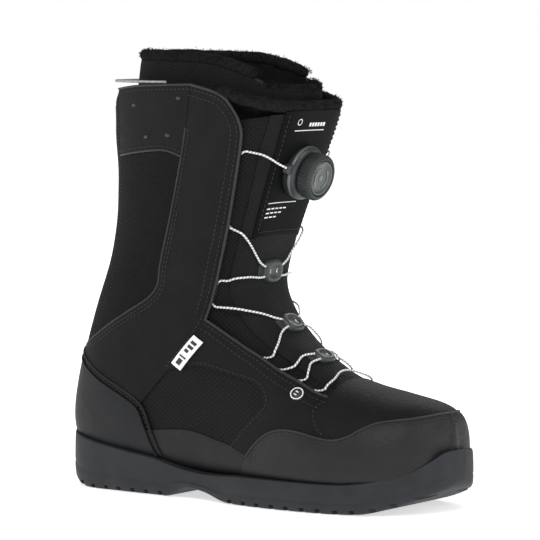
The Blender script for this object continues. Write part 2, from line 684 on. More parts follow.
def panel(name, outline, look, slot, nodes, lift=0.0, puff=0.0006, y0=-WIDE, y1=WIDE):
    """A sewn panel: the upper's skin inside a side-view outline, swelling away from its edges."""
    places = [side_place(x, z)[0] for x, z in outline]
    first, last = max(min(places) - 1.0, 0.0), min(max(places) + 1.0, TOP_ROW)

    def inset_at(points):
        swell = 1 - np.exp(-from_outline(points[:, ::2], outline) / 0.006)
        return -(lift + puff * swell * (1 + 0.35 * ripples(points)))

    toe = toe_rings(-lift) if first == 0 else []
    skin = skin_solid(first, last, inset_at, toe)
    inner_first = 0.6 if first == 0 else max(first - 0.3, 0)
    inner_rows = np.arange(inner_first, last + 0.24, 0.25)
    row_grid, turn_grid = round_grid(np.minimum(inner_rows, TOP_ROW), 120)
    inner = upper_points(row_grid, turn_grid, SKIN - lift)
    inner[-1, :, 2] += 0.02
    boolean(skin, "INTERSECT", prism(outline, y0, y1))
    boolean(skin, "DIFFERENCE", loft("inner", inner))
    skin.name = name
    finish_mesh(skin, look)
    return placed(skin, "shell", slot, *nodes)


def both_sides(name, outline, look, slot, **more):
    """The same panel on the lateral and on the medial side."""
    for side, y0, y1 in (("lateral", -WIDE, -0.0001), ("medial", 0.0001, WIDE)):
        panel(f"{name}_{side}_skin", outline, look, slot, [f"{name}_{side}"], y0=y0, y1=y1, **more)


def panels(looks):
    rear_low = curve(REAR_SEAM, 2)
    shaft = (curve(EYESTAY) + curve(SHAFT_FOOT)[1:] + curve(HEEL_TOP, 0, 3)[::-1][1:]
             + curve(REAR_SEAM)[::-1][1:-1])
    quarter = (curve(THROAT) + curve(VAMP_EDGE)[1:] + curve(TOE_TOP, 1, 6)[::-1][1:]
               + curve(MESH_TOP)[::-1] + curve(SHAFT_FOOT, 0, 3)[::-1][1:-1])
    mesh = curve(MESH_TOP) + curve(RAND_TOP, 0, 4)[::-1][1:] + [(-0.080, 0.0610)]
    rand = curve(RAND_TOP) + [TOE_TOP[0], (-0.062, 0.0190), (-0.066, 0.0270)]
    collar = curve(COLLAR_TOP) + curve(REAR_SEAM, 0, 2)[1:] + curve(COLLAR_FOOT)[::-1][1:]
    both_sides("side_mesh", mesh, looks["mesh"], "woven_fabric", lift=-0.0003, puff=0.0004)
    both_sides("shaft", shaft, looks["smooth"], "smooth_synthetic", lift=0.0004, puff=0.0008)
    both_sides("quarter", quarter, looks["smooth"], "smooth_synthetic", lift=0.0004, puff=0.0007)
    both_sides("side_rand", rand, looks["rand"], "rand_synthetic", lift=0.0003, puff=0.0004)
    both_sides("collar_overlay", collar, looks["smooth"], "smooth_synthetic", lift=0.0008, puff=0.0004)
    rear = curve(SCOOP) + curve(COLLAR_FOOT)[1:] + rear_low[1:] + [(-0.180, 0.1040)]
    panel("rear_shaft_skin", rear, looks["rear"], "woven_fabric", ["rear_shaft_panel"], lift=0.0,
          puff=0.0008)
    heel = curve(HEEL_TOP) + LAST_EDGE[:3][::-1] + [(-0.180, 0.1040)]
    panel("heel_cup_skin", heel, looks["heel"], "heel_moulding", ["heel_cup"], lift=0.0010, puff=0.0007)
    vamp = curve(VAMP_EDGE) + curve(TOE_TOP, 6)[1:] + [(0.165, 0.0950), (0.077, 0.0950)]
    panel("vamp_skin", vamp, looks["smooth"], "smooth_synthetic", ["vamp"], lift=0.0002, puff=0.0008)
    toe = curve(TOE_TOP) + [(0.165, 0.0330)] + LAST_EDGE[4:-1][::-1][:-1]
    panel("toe_cap_skin", toe, looks["toe"], "rand_synthetic", ["toe_cap"], lift=0.0008, puff=0.0006)


# ---------------------------------------------------------------- seams
def side_path(line, lift, side):
    """A side-view line laid on the upper, on one side of the boot."""
    return [tuple(on_side(p, -lift, side)) for p in even_path(line, SEAM_STEP)]


def piping(name, lines, lift, radius, look, slot):
    """Thin rounded edges along side-view lines, on both sides."""
    made = []
    for line in lines:
        for side in (-1, 1):
            made.append(rings_mesh(tube_rings(side_path(line, lift, side), radius, 8)))
    return placed(joined(name, made, look), "shell", slot)


def stitch_row(path):
    """Threads that dip into the cloth, one after another along a path."""
    points = even_path(path, STITCH)
    radii = [0.4 * THREAD_R, THREAD_R, THREAD_R, 0.4 * THREAD_R]
    made = []
    for a, b in zip(points, points[1:]):
        spots = [a + (b - a) * s for s in (0.12, 0.25, 0.62, 0.76)]
        made.append(rings_mesh(tube_rings(spots, radii, 6)))
    return made


def stitches(looks):
    """Every row of stitches on the shell: a side-view line, its distance, and the panel's lift there."""
    rows = [
        (curve(EYESTAY), -0.0030, 0.0008), (curve(EYESTAY), -0.0075, 0.0010),
        (curve(THROAT), -0.0028, 0.0008), (curve(THROAT), -0.0070, 0.0010),
        (curve(REAR_SEAM, 1), 0.0030, 0.0008), (curve(REAR_SEAM, 3), 0.0054, 0.0010),
        (curve(HEEL_TOP, 0, 5), 0.0030, 0.0012),
        (curve(TOE_TOP, 1), -0.0026, 0.0011), (curve(TOE_TOP, 1), -0.0052, 0.0012),
        (curve(RAND_TOP), -0.0028, 0.0005), (curve(MESH_TOP), 0.0026, 0.0008),
        (curve(VAMP_EDGE), 0.0026, 0.0006), (curve(SHAFT_FOOT, 0, 3), -0.0028, 0.0008),
        (curve(COLLAR_FOOT), 0.0028, 0.0012), (curve(COLLAR_TOP), -0.0030, 0.0012),
    ]
    made = []
    for line, distance, lift in rows:
        moved = beside(line, distance)
        for side in (-1, 1):
            made += stitch_row(side_path(moved, lift, side))
    placed(joined("seam_stitches", made, looks["thread"]), "shell", "smooth_synthetic")


def seams(looks):
    piping("eyestay_binding", [curve(EYESTAY)], 0.0006, 0.0010, looks["binding"], "smooth_synthetic")
    piping("throat_binding", [curve(THROAT)], 0.0006, 0.0010, looks["binding"], "smooth_synthetic")
    piping("toe_piping", [curve(TOE_TOP, 1)], 0.0010, 0.0008, looks["binding"], "rand_synthetic")
    heel = curve(HEEL_TOP, 0, 5)
    piping("heel_lip", [heel, beside(heel, 0.0052)], 0.0012, 0.0009, looks["heel"], "heel_moulding")
    piping("rear_piping", [curve(REAR_SEAM, 1)], 0.0003, 0.0007, looks["binding"], "smooth_synthetic")
    piping("collar_piping", [curve(COLLAR_TOP), curve(COLLAR_FOOT)], 0.0008, 0.0008, looks["binding"],
           "smooth_synthetic")
    stitches(looks)


# ---------------------------------------------------------------- sole
SOLE_SIDE = [  # share of the wall's height, and how far in it is
    (0.00, 0.0060), (0.02, 0.0022), (0.08, 0.0008), (0.20, 0.0002), (0.30, 0.0), (0.34, 0.0005),
    (0.38, 0.0005), (0.42, 0.0), (0.70, 0.0002), (0.92, 0.0005), (0.98, 0.0010), (1.00, 0.0020),
]


BOX_FACES = [(0, 1, 3, 2), (4, 6, 7, 5), (0, 4, 5, 1), (2, 3, 7, 6), (0, 2, 6, 4), (1, 5, 7, 3)]


def sole_rings():
    """Rings of the sole from the heel to the toe: one wall, the top, the other wall, the underside."""
    places = np.linspace(0, len(SOLE) - 1, 8 * (len(SOLE) - 1) + 1)
    rings = []
    for x, half, middle, low, high in smooth(SOLE, places):
        side = [(half - inward, low + (high - low) * share) for share, inward in SOLE_SIDE]
        across = np.linspace(-1, 1, 13)[1:-1]
        edge = side[0][0]
        ring = [(x, middle + max(y, 0.001), z) for y, z in side]
        ring += [(x, middle - edge_y, side[-1][1]) for edge_y in across * max(side[-1][0], 0.001)]
        ring += [(x, middle - max(y, 0.001), z) for y, z in side[::-1]]
        ring += [(x, middle + edge_y, low) for edge_y in across * max(edge, 0.001)]
        rings.append(ring)
    return rings


def tread_boxes():
    """Grooves between the lugs, round the sole's edge and across its middle."""
    made = []
    places = np.linspace(0, len(SOLE) - 1, 400)
    rows = smooth(SOLE, places)
    xs = np.concatenate([np.arange(-0.150, -0.058, 0.0125), np.arange(0.004, 0.153, 0.0125)])
    for number, x in enumerate(xs):
        half, middle, low = (np.interp(x, rows[:, 0], rows[:, k]) for k in (1, 2, 3))
        for side in (-1, 1):
            y0, y1 = middle + side * (0.35 * half), middle + side * (half + 0.004)
            lean = 0.004 * (1 if number % 2 else 0.4)
            corners = [
                (x + dx + (lean if y == y0 else 0), y, z)
                for dx in (0.0, 0.0038) for y in (y0, y1) for z in (low - 0.01, low + 0.0034)
            ]
            made.append((corners, BOX_FACES))
    return joined("tread", made, None)


def sole(looks):
    """The rubber sole, hollowed for the upper and grooved between its lugs."""
    outsole = loft("outsole_skin", sole_rings())
    row_grid, turn_grid = round_grid(np.arange(0, 13.01, 0.25), 160)
    boolean(outsole, "DIFFERENCE", loft("foot", upper_points(row_grid, turn_grid, -0.0004)))
    boolean(outsole, "DIFFERENCE", tread_boxes())
    finish_mesh(outsole, looks["sole"], 35)
    placed(outsole, "shell", "sole_rubber", "outsole")


# ---------------------------------------------------------------- liner and fleece
def liner_solid(first, inset, top_extra=0.0):
    """A closed quilted solid inside the upper, narrower towards the cuff's top."""
    row_grid, turn_grid = round_grid(np.append(np.arange(first, TOP_ROW, 0.25), TOP_ROW), 150)
    flat = upper_points(row_grid, turn_grid)
    more = CUFF_TAPER * np.maximum(row_grid - 15, 0)
    quilt = 0.0005 * ripples(flat)
    grid = upper_points(row_grid, turn_grid, inset + more + quilt)
    grid[-1, :, 2] += top_extra
    return loft("liner", grid)


def tongue_block(loose):
    """A block wider than the stiff tongue at each height, by loose on each side."""
    back, front = -0.060, 0.125
    rings = []
    for z, half in TONGUE_WIDTH:
        edge = half + loose
        rings.append([(back, -edge, z), (front, -edge, z), (front, edge, z), (back, edge, z)])
    return loft("block", rings)


def liner(looks):
    """The inner boot, cut into the sock that stays and the tongue that folds."""
    body = liner_solid(1.6, LINER_OUT)
    boolean(body, "DIFFERENCE", liner_solid(2.6, LINER_IN, 0.03))
    top = curve(LINER_TOP, 1, 5) + [(0.080, 0.2800), (0.080, 0.400), (-0.200, 0.400), (-0.200, 0.3070)]
    boolean(body, "DIFFERENCE", prism(top, -WIDE, WIDE))
    front = [(0.0, 0.400), (-0.014, 0.292), (-0.030, 0.130), (0.010, 0.090), (0.052, 0.074),
             (0.075, 0.074), (0.120, 0.120), (0.120, 0.400)]
    sock = body.copy()
    sock.data = body.data.copy()
    bpy.context.scene.collection.objects.link(sock)
    boolean(body, "DIFFERENCE", prism(front, -LINER_SLIT, LINER_SLIT))
    body.name = "liner_sock"
    finish_mesh(body, looks["liner"])
    placed(body, "shell", "liner_fabric", "liner_lateral", "liner_medial")
    flap = front[:4] + [(0.044, 0.0775), (0.062, 0.0800), (0.069, 0.1000), (0.110, 0.1300),
                        (0.110, 0.3950)]
    flap = [(x + 0.0004, z + 0.0004) for x, z in flap]
    boolean(sock, "INTERSECT", prism(flap, -LINER_FLAP, LINER_FLAP))
    boolean(sock, "INTERSECT", tongue_block(-0.0008))
    sock.name = "liner_tongue_pad"
    finish_mesh(sock, looks["liner"])
    placed(sock, "tongue", "liner_fabric", "liner_tongue")


def top_point(turn, line, inset, taper=0.0):
    """Where this turn round the cuff meets a side-view line."""
    xs, zs = zip(*line)
    low, high = 11.0, float(TOP_ROW)
    for _ in range(26):
        middle = (low + high) / 2
        point = upper_point(middle, turn, inset + taper * max(middle - 15, 0))
        low, high = (middle, high) if point.z < np.interp(point.x, xs, zs) else (low, middle)
    return point


def tufts(path, radius, count):
    """Short bent hairs that stand out from a roll of fleece."""
    path = even_path(path, 0.0015)
    at = path[RANDOM.integers(0, len(path), count)] + RANDOM.normal(0, 0.0006, (count, 3))
    way = RANDOM.normal(0, 1, (count, 3))
    way[:, 2] = np.abs(way[:, 2]) * 0.8 + 0.1
    way /= np.linalg.norm(way, axis=1)[:, None]
    bend = RANDOM.normal(0, 0.35, (count, 3))
    sizes = TUFT * RANDOM.uniform(0.5, 1.1, count)[:, None]
    side = np.cross(way, RANDOM.normal(0, 1, (count, 3)))
    side /= np.linalg.norm(side, axis=1)[:, None]
    other = np.cross(way, side)
    root = at + way * radius * 0.85
    middle = root + way * sizes * 0.55
    tip = root + (way + bend) * sizes
    points, faces = [], []
    for centre, width in ((root, 0.00034), (middle, 0.00022)):
        for a in (0, 2.1, 4.2):
            points.append(centre + width * (math.cos(a) * side + math.sin(a) * other))
    points.append(tip)
    cloud = np.stack(points, 1).reshape(-1, 3)
    shape = [(0, 1, 4, 3), (1, 2, 5, 4), (2, 0, 3, 5), (3, 4, 6), (4, 5, 6), (5, 3, 6), (2, 1, 0)]
    for k in range(count):
        faces += [[7 * k + i for i in face] for face in shape]
    return cloud, faces


def fleece_roll(name, path, radius, count, looks, body, *nodes):
    """A padded roll of fleece with so many hairs, thinner at its ends."""
    path = smooth_path(path, 4)
    radii = radius * (1 + 0.10 * ripples(np.asarray(path) * 4))
    radii[:3] *= (0.45, 0.75, 0.92)
    radii[-3:] *= (0.92, 0.75, 0.45)
    meshes = [rings_mesh(tube_rings(path, radii, 14)), tufts(path, radius, count)]
    roll = placed(joined(name, meshes, looks["fleece"]), body, "fleece", *nodes)


def cuff_line(first, last, step, line, inset, lift, taper=0.0):
    """Points round the cuff along a side-view line, from one angle to another and lifted a little."""
    return [top_point(math.radians(a), line, inset, taper) + Vector((0, 0, lift))
            for a in range(first, last, step)]


def fleece(looks):
    depth = (LINER_OUT + LINER_IN) / 2
    line = curve(LINER_TOP)
    around = cuff_line(52, 309, 8, line, depth, 0.0030, CUFF_TAPER)
    fleece_roll("liner_collar_fleece", around, 0.0044, 6000, looks, "shell", "liner_collar")
    front = cuff_line(-46, 47, 6, line, depth, 0.0008, CUFF_TAPER)
    fleece_roll("liner_tongue_fleece", front, 0.0036, 2500, looks, "tongue")
    rim = cuff_line(-72, 73, 6, RIM_LINE, 0.0030, 0.0030)
    fleece_roll("tongue_rim_fleece", rim, 0.0044, 4500, looks, "tongue", "tongue_rim")


# ---------------------------------------------------------------- tongue
def tongue_half(z):
    """Half the stiff tongue's width at height z."""
    heights, halves = zip(*TONGUE_WIDTH)
    return np.interp(z, heights, halves)


def front_grid(rows, half_at, shares, inset_at):
    """Points of the boot's front face. Shares run across it from -1 at -Y to 1."""
    row_grid, share_grid = np.meshgrid(rows, shares, indexing="ij")
    half = half_at(smooth(SECTIONS, row_grid)[..., 1])
    turn = front_turn(row_grid, half * share_grid)
    return upper_points(row_grid, turn, inset_at(row_grid, share_grid))


def tongue(looks):
    """The padded outer tongue, from under the vamp to the cuff's top."""
    low = float(np.interp(-HINGE_X, -STEP_VALUES[:, 0][:400], ROW_STEPS[:400]))
    rows = np.linspace(0, 1, 90)
    shares = np.linspace(-1, 1, 61)
    row_grid, share_grid = np.meshgrid(rows, shares, indexing="ij")
    top = 15.86 + 0.06 * share_grid ** 2
    place = low + (top - low) * row_grid
    half = tongue_half(smooth(SECTIONS, place)[..., 1]) + 0.0012
    turn = front_turn(place, half * share_grid)
    tuck = 0.0030 * np.clip(1 - row_grid / 0.06, 0, 1)
    crown = 0.0012 * (1 - share_grid ** 4) - 0.0022 * share_grid ** 6
    flat = upper_points(place, turn)
    outer = upper_points(place, turn, tuck - crown + 0.0006 - 0.0003 * ripples(flat))
    inner = upper_points(place, turn, np.full(place.shape, 0.0042))
    pad = slab("tongue_pad", outer, inner, looks["tongue"])
    placed(pad, "tongue", "woven_fabric", "tongue_shell")


def face_point(y, z, lift):
    """The point of the boot's front face at y and about height z, lifted off it."""
    row = front_row(z)
    return upper_point(row, float(front_turn(row, y)), -lift)


def face_panel(looks):
    """The smooth panel behind the dial, with its rounded edges and double stitching."""
    rows = np.linspace(front_row(0.1850), front_row(0.2730), 60)
    shares = np.linspace(-1, 1, 41)

    def half_at(z):
        return np.interp(z, (0.1850, 0.2620), (0.0275, 0.0330))

    def raised(row_grid, share_grid):
        return -(0.0017 - 0.0009 * share_grid ** 10)

    outer = front_grid(rows, half_at, shares, raised)
    inner = front_grid(rows, half_at, shares, lambda r, s: np.full(r.shape, 0.0002))
    placed(slab("tongue_face_skin", outer, inner, looks["face"]), "tongue", "smooth_synthetic",
           "tongue_face_panel")
    made = []
    heights = np.linspace(0.1890, 0.2710, 30)
    for side in (-1, 1):
        made += stitch_row([face_point(side * (half_at(z) - 0.0030), z, 0.0018) for z in heights])
    foot = [face_point(y, 0.1878, 0.0019) for y in np.linspace(-0.0235, 0.0235, 16)]
    made += stitch_row(foot)
    placed(joined("face_stitches", made, looks["thread"]), "tongue", "smooth_synthetic")


def ribbon(a, b, width):
    """A thin printed line on the face panel between two places y, z."""
    count = max(int(math.hypot(b[0] - a[0], b[1] - a[1]) / 0.002), 1)
    way = Vector((b[0] - a[0], b[1] - a[1])).normalized()
    off = Vector((-way.y, way.x)) * width / 2
    rings = []
    for k in range(count + 1):
        y, z = a[0] + (b[0] - a[0]) * k / count, a[1] + (b[1] - a[1]) * k / count
        rings.append([
            face_point(y + s * off.x, z + s * off.y, h)
            for s, h in ((-1, MARK_LIFT), (1, MARK_LIFT), (1, MARK_TOP), (-1, MARK_TOP))
        ])
    return rings_mesh(np.array(rings))


def printed_ring(centre, inner, outer, sides=24):
    """A printed ring on the face panel, round a centre y, z."""
    section = ((inner, MARK_LIFT), (outer, MARK_LIFT), (outer, MARK_TOP), (inner, MARK_TOP))
    rings = []
    for k in range(sides):
        a = 2 * math.pi * k / sides
        rings.append([face_point(centre[0] + r * math.cos(a), centre[1] + r * math.sin(a), h)
                      for r, h in section])
    last = 4 * (sides - 1)
    faces = grid_faces(sides, 4, True) + [[last + i, last + (i + 1) % 4, (i + 1) % 4, i] for i in range(4)]
    return np.array(rings).reshape(-1, 3), faces


def face_marks(looks):
    """Generic printed lines and dashes in place of any name."""
    made = [
        ribbon((-0.0215, 0.2590), (0.0120, 0.2590), 0.0006),
        ribbon((-0.0230, 0.2080), (0.0080, 0.2080), 0.0005),
    ]
    for k in range(6):
        made.append(ribbon((-0.0070 + 0.0032 * k, 0.2630), (-0.0048 + 0.0032 * k, 0.2630), 0.0026))
    for row, z in enumerate((0.2040, 0.2010, 0.1980)):
        for k in range(5 - row):
            start = -0.0225 + 0.0044 * k
            made.append(ribbon((start, z), (start + 0.0032, z), 0.0009))
    made.append(printed_ring((-0.0185, 0.2650), 0.0018, 0.0023))
    placed(joined("face_marks", made, looks["ink"]), "tongue", "smooth_synthetic")


def opening_turn(row, outline):
    """The turn at which a row's outer face reaches the edge of the shell's front opening."""
    turns = np.linspace(0.05, 1.7, 240)
    points = upper_points(np.full(turns.shape, row), turns)
    a = np.array(outline)
    b = np.roll(a, -1, 0)
    inside = np.zeros(len(turns), bool)
    for start, end in zip(a, b):
        crosses = (start[1] > points[:, 2]) != (end[1] > points[:, 2])
        at = start[0] + (points[:, 2] - start[1]) * (end[0] - start[0]) / (end[1] - start[1] + 1e-12)
        inside ^= crosses & (points[:, 0] < at)
    out = np.nonzero(~inside)[0]
    return turns[out[0]] if len(out) else turns[-1]


def gussets(looks):
    """The soft ribbed folds between the tongue's edges and the shell."""
    outline = curve(EYESTAY) + curve(THROAT)[1:] + [(0.30, 0.078), (0.30, 0.40), (-0.026, 0.40)]
    rows = np.linspace(5.0, 15.9, 88)
    across = np.linspace(0, 1, 16)
    half = tongue_half(smooth(SECTIONS, rows)[:, 1]) - 0.004
    starts = np.abs(front_turn(rows, -half))
    ends = np.array([opening_turn(row, outline) for row in rows]) + 0.06
    ends = np.maximum(ends, starts + 0.05)
    turn = starts[:, None] + (ends - starts)[:, None] * across
    row_grid = np.repeat(rows[:, None], len(across), 1)
    fold = 0.0030 + 0.0007 * np.sin(np.pi * across)
    for name, side in (("lateral", 1), ("medial", -1)):
        outer = upper_points(row_grid, side * turn, fold)
        inner = upper_points(row_grid, side * turn, fold + 0.0009)
        piece = slab(f"gusset_{name}_fold", outer, inner, looks["gusset"])
        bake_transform(piece)
        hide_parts(f"gusset_{name}")


# ---------------------------------------------------------------- lace and guides
def guide_frame(height):
    """A guide's frame on the front face, with Z out of it."""
    row = front_row(height)
    return frame_at(upper_point(row, 0.0), outward(row, 0.0))


def guide_turn(number, side):
    """Where the lace goes into a guide, turns and comes out of it again."""
    height, up, across = GUIDES[number]
    frame = guide_frame(height)
    spots = [(-0.58, 1.50), (-0.36, 0.40), (0.36, 0.40), (0.58, 1.50)]
    return [frame @ Vector((u * up, side * v * across, 0.0023)) for u, v in spots]


def loop_path(upper, lower, side):
    """The lace's way through a sleeve, under the shell's front edge."""
    middle = ((upper[0] + lower[0]) / 2, (upper[1] + lower[1]) / 2)
    return [on_side(place, LOOP_DEPTH, side) for place in (upper, middle, lower)]


def ridden(point, inset):
    """The point moved onto the boot's front face, at the same height and the same y."""
    row = front_row(point.z)
    for _ in range(8):
        turn = float(front_turn(row, point.y))
        row += (point.z - upper_point(row, turn).z) * 30
    return upper_point(row, turn, inset)


def strand(tucked, free):
    """The lace's tight way over the tongue, from under a panel's edge to a free point, without its ends."""
    shares = np.linspace(0, 1, 8) ** 2
    drops = shares
    for _ in range(3):
        spots = [
            Vector((0, tucked.y + (free.y - tucked.y) * s, tucked.z + (free.z - tucked.z) * d))
            for s, d in zip(shares, drops)
        ]
        points = [ridden(spot, LACE_RIDE) for spot in spots]
        lengths = np.cumsum([0.0] + [(b - a).length for a, b in zip(points, points[1:])])
        drops = 0.5 * lengths / lengths[-1] + 0.5 * shares
    way = []
    for spot, length in zip(spots[1:-1], lengths[1:-1]):
        if 0.0025 < length < lengths[-1] - 0.0040:
            way.append(ridden(spot, 0.0022 if length < 0.0045 else LACE_RIDE * min(length / 0.0100, 1.0)))
    return way


def rounded(path):
    """The path with each sharp corner cut back twice, so that a tube bends there."""
    for cut in (BEND_REACH, BEND_REACH / 3):
        found = [path[0]]
        for before, here, after in zip(path, path[1:], path[2:]):
            back, on = before - here, after - here
            if back.angle(on) > math.radians(172):
                found.append(here)
                continue
            found.append(here + back.normalized() * min(cut, back.length * 0.3))
            found.append(here + on.normalized() * min(cut, on.length * 0.3))
        path = found + [path[-1]]
    return path


def twisted(name, path, radius, pitch, look, sides=10, step=0.0005):
    """A laid cord: a lobed tube whose lobes and colours wind round it."""
    path = even_path([tuple(p) for p in path], step)
    rings = tube_rings(path, 1.0, sides)
    axis = path[:, None, :]
    phase = (
        2 * np.pi * np.arange(len(path))[:, None] * step / pitch
        + 2 * np.pi * np.arange(sides)[None, :] / sides
    )
    lobes = 0.5 + 0.5 * np.cos(2 * phase)
    rings = axis + (rings - axis) * (radius * (0.86 + 0.14 * lobes))[..., None]
    obj = loft(name, rings, look, 80)
    attribute = obj.data.attributes.new("twist", "FLOAT", "POINT")
    attribute.data.foreach_set("value", (0.5 + 0.5 * np.cos(phase)).ravel())
    return obj


def dial_frame():
    """The dial's frame, with Z along its axis and out of the boot."""
    return frame_at(DIAL_AT, Vector((math.cos(DIAL_TILT), 0, -math.sin(DIAL_TILT))))


def lace_sides(side):
    """One side's lace in two runs, which meet out of sight inside the second sleeve."""
    frame = dial_frame()
    upper = [frame @ Vector((-PORT_UP, side * (HOUSING_R + 0.0012), 0.0048)),
             frame @ Vector((-PORT_UP, side * (FLANGE_R + 0.0010), 0.0044))]
    first = loop_path(*LOOP_ENDS[0], side)
    upper += strand(first[0], upper[-1])[::-1] + first
    turn = guide_turn(0, side)
    upper += strand(first[-1], turn[0]) + turn
    second = loop_path(*LOOP_ENDS[1], side)
    upper += strand(second[0], turn[-1])[::-1] + second[:2]
    lower = second[1:]
    for number in (1, 2):
        turn = guide_turn(number, side)
        sleeve = loop_path(*LOOP_ENDS[number + 1], side)
        lower += strand(lower[-1], turn[0]) + turn + strand(sleeve[0], turn[-1])[::-1] + sleeve
    return upper, lower


def lace(looks):
    lowest = []
    for name, side in (("lateral", -1), ("medial", 1)):
        upper, lower = lace_sides(side)
        piece = twisted(f"lace_upper_{name}", rounded(upper), LACE_R, LACE_PITCH, looks["lace"])
        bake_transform(piece)
        lowest.append(lower)
    middle = upper_point(front_row(0.0915), 0.0, LACE_RIDE)
    path = (lowest[0] + strand(lowest[0][-1], middle) + [middle]
            + strand(lowest[1][-1], middle)[::-1] + lowest[1][::-1])
    piece = twisted("lace_lower", rounded(path), LACE_R, LACE_PITCH, looks["lace"])
    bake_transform(piece)
    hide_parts("lace")


def guide_plate(frame, up, across):
    """A dished plate with a raised lip and a slot-like hollow."""
    rings = []
    for share, h in ((0.001, 0.0026), (0.35, 0.0027), (0.52, 0.0030), (0.62, 0.0040), (0.80, 0.0043),
                     (0.95, 0.0040), (1.06, 0.0030), (1.12, 0.0018), (1.12, 0.0006)):
        ring = []
        for k in range(40):
            a = 2 * math.pi * k / 40
            c, s = math.cos(a), math.sin(a)
            r = (abs(c) ** 2.8 + abs(s) ** 2.8) ** (-1 / 2.8)
            ring.append(frame @ Vector((share * up * r * c, share * across * r * s, h)))
        rings.append(ring)
    return rings_mesh(np.array(rings))


def guides(looks):
    for number, (height, up, across) in enumerate(GUIDES, 1):
        frame = guide_frame(height)
        plate = [guide_plate(frame, up, across)]
        plate = joined(f"lace_guide_{number}_plate", plate, looks["plastic"], 50)
        placed(plate, "tongue", "guide_plastic", f"lace_guide_{number}")
        made = []
        for side in (-1, 1):
            rings = []
            for v, h in ((0.95, 0.0010), (1.25, 0.0012), (1.60, 0.0008)):
                rings.append([
                    ridden(frame @ Vector((u * up * 0.55, side * v * across, 0)), -h + d)
                    for u, d in ((-1, 0.0), (1, 0.0), (1, 0.0012), (-1, 0.0012))
                ])
            made.append(rings_mesh(np.array(rings)))
        placed(joined(f"guide_{number}_webbing", made, looks["webbing"]), "tongue", "guide_plastic")


# ---------------------------------------------------------------- dial
def knurled(radius, k):
    """The knob's radius at its k-th side: two sides of every four lie deeper."""
    return radius - (0.0007 if k % 4 in (2, 3) and radius > KNOB_R - 0.001 else 0.0)


def dial(looks):
    frame = dial_frame()
    base = [(0.0, -0.0015), (FLANGE_R - 0.0008, -0.0015), (FLANGE_R, 0.0), (FLANGE_R, 0.0058),
            (FLANGE_R - 0.0007, 0.0066), (0.0172, 0.0074), (0.0150, 0.0078), (HOUSING_R, 0.0080),
            (HOUSING_R, 0.0108), (0.0108, 0.0110), (0.0108, 0.0035), (0.0022, 0.0035), (0.0022, 0.0100),
            (0.0, 0.0100)]
    placed(turned("dial_base_body", base, frame, looks["dial"], 96), "tongue", "dial_plastic", "dial_base")
    rim = [(FLANGE_R - 0.0014, 0.0064), (FLANGE_R - 0.0002, 0.0058), (FLANGE_R + 0.0003, 0.0046),
           (FLANGE_R + 0.0003, 0.0034), (FLANGE_R - 0.0014, 0.0034)]
    placed(turned("dial_rim", rim, frame, looks["rim"], 96), "tongue", "dial_plastic")
    ports = []
    for side in (-1, 1):
        rings = []
        for y, width, h in ((0.0165, 0.0034, 0.0058), (0.0205, 0.0034, 0.0056), (0.0228, 0.0024, 0.0044)):
            rings.append([
                frame @ Vector((-PORT_UP + s * width, side * y, z))
                for s, z in ((-1, 0.0006), (1, 0.0006), (1, h), (-1, h))
            ])
        ports.append(rings_mesh(np.array(rings)))
    placed(joined("dial_ports", ports, looks["plastic"], 30), "tongue", "dial_plastic")
    grip = [(0.0131, 0.0092), (KNOB_R - 0.0004, 0.0092), (KNOB_R, 0.0097), (KNOB_R, 0.0168),
            (KNOB_R - 0.0005, 0.0180), (KNOB_R - 0.0018, 0.0190), (CAP_R + 0.0010, 0.0193),
            (CAP_R + 0.0004, 0.0188), (CAP_R + 0.0004, 0.0146), (0.0131, 0.0146)]
    placed(turned("dial_grip_ring", grip, frame, looks["grip"], 192, knurled, 30), "dial_knob",
           "dial_rubber", "dial_grip")
    cap = [(0.0, 0.0160), (0.0040, 0.0160), (0.0040, 0.0152), (CAP_R, 0.0152), (CAP_R, 0.0184),
           (CAP_R - 0.0005, 0.0189), (CAP_R - 0.0015, 0.0190), (CAP_R - 0.0024, 0.0184), (0.0060, 0.0179),
           (0.0, 0.0177)]
    placed(turned("dial_cap_face", cap, frame, looks["cap"], 96), "dial_knob", "dial_face", "dial_cap")
    placed(joined("dial_marks", dial_marks(frame), looks["rim"]), "dial_knob", "dial_face")


def dial_marks(frame):
    """Two turning arrows in place of any name."""
    made = []
    for start in (0.35, 0.35 + math.pi):
        rings = []
        for k in range(15):
            a = start + 2.1 * k / 14
            width = 0.0005 if k < 11 else 0.0013 * (14 - k) / 3 + 0.0001
            rings.append([
                frame @ Vector(((0.0075 + s * width) * math.cos(a), (0.0075 + s * width) * math.sin(a), h))
                for s, h in ((-1, 0.0178), (1, 0.0178), (1, 0.0184), (-1, 0.0184))
            ])
        made.append(rings_mesh(np.array(rings)))
    made.append(turned_mesh([(0.0, 0.0172), (0.0022, 0.0172), (0.0022, 0.0181), (0.0, 0.0182)], frame, 24))
    return made


# ---------------------------------------------------------------- small pieces
def rivets(looks):
    profile = [(0.0, 0.0004), (1.0, 0.0004), (1.0, 0.0011), (0.9, 0.0016), (0.6, 0.0020), (0.3, 0.0021),
               (0.0, 0.0022)]
    for name, side in (("lateral", -1), ("medial", 1)):
        for number, place in enumerate(RIVETS, 1):
            row, turn = side_place(*place)
            turn = turn if side < 0 else -turn
            frame = frame_at(upper_point(row, turn), outward(row, turn))
            oval = frame @ Matrix.Diagonal((0.0014, 0.0021, 1.0, 1.0))
            rivet = turned(f"rivet_{name}_{number}_dome", profile, oval, looks["rivet"], 24)
            placed(rivet, "shell", "rivet_metal", f"rivet_{name}_{number}")


